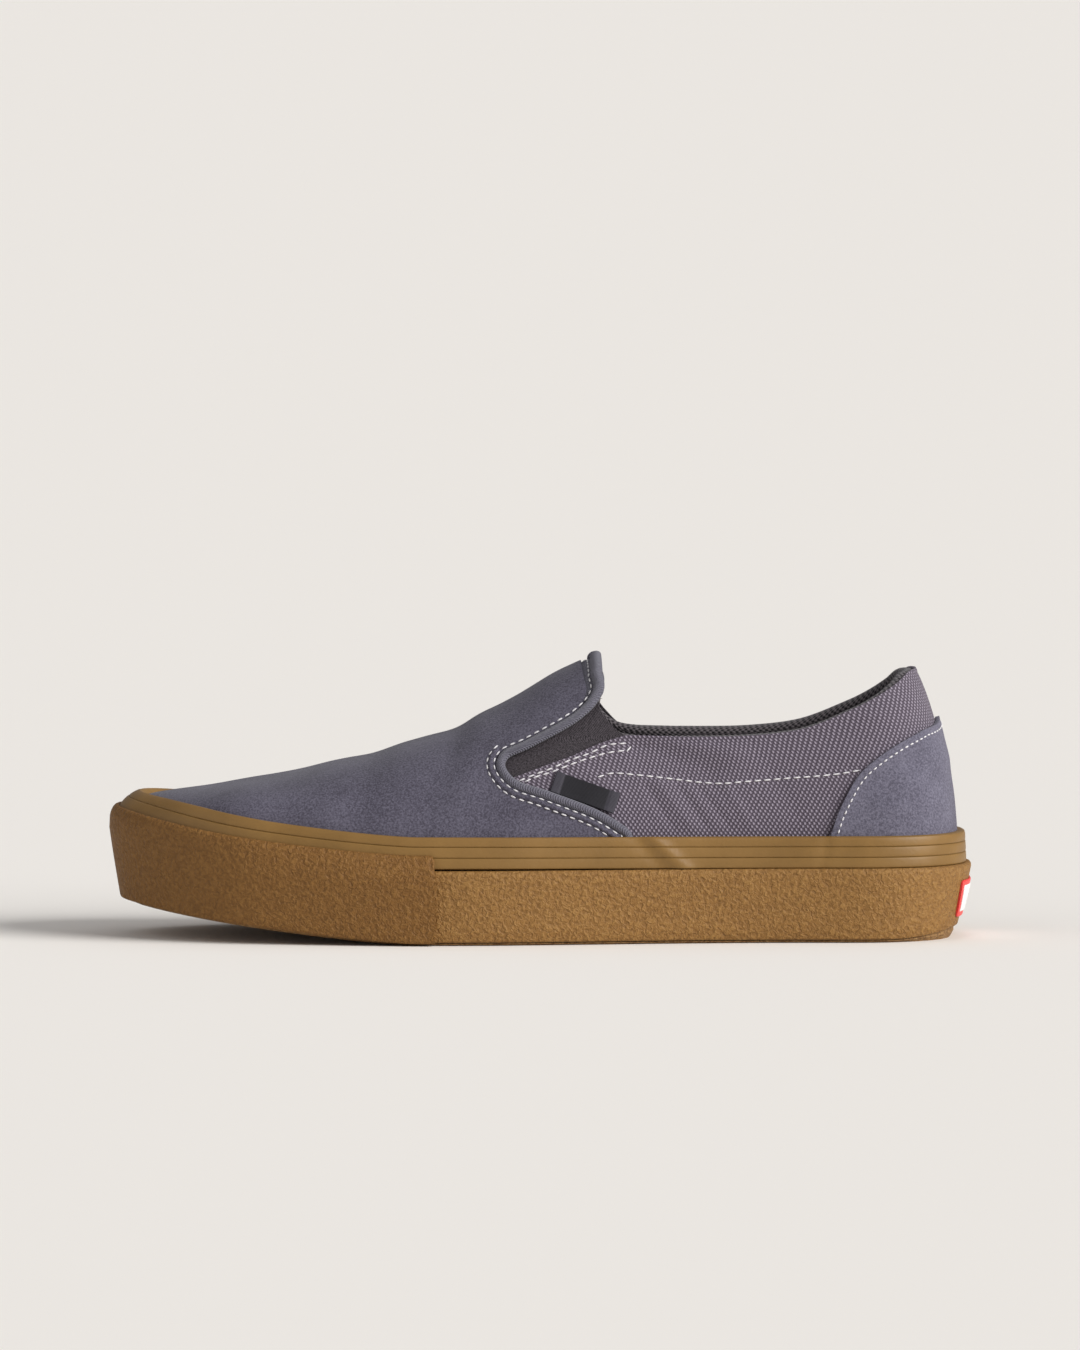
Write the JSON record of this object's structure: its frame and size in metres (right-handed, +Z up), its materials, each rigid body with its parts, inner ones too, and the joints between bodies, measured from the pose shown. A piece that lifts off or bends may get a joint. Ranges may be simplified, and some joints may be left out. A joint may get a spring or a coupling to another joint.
{
  "type": "slip-on sneaker",
  "caption": "Low slip-on sneaker for the left foot, with a suede vamp and heel, canvas quarters, elastic gores and a rubber sole with a ribbed tape.",
  "frame": {"origin": "centre of the shoe's box, on the floor under the sole", "axes": "+X from the toe to the heel, +Y towards the inner side of the foot, +Z up"},
  "size_m": [0.29, 0.1087, 0.0944],
  "materials": {
    "gum_rubber": "matte",
    "plate_rubber": "satin",
    "suede": "matte",
    "canvas": "matte",
    "twill": "matte",
    "dark_weave": "matte",
    "sock_foam": "matte"
  },
  "bodies": {
    "root": {"outsole": "gum_rubber", "foxing": "gum_rubber", "toe_bumper": "gum_rubber", "foxing_tape": "gum_rubber", "heel_plate": "plate_rubber", "upper": "canvas", "vamp": "suede", "heel_counter": "suede", "vamp_binding": "twill", "side_tag": "dark_weave", "insole": "sock_foam"}
  },
  "joints": []
}
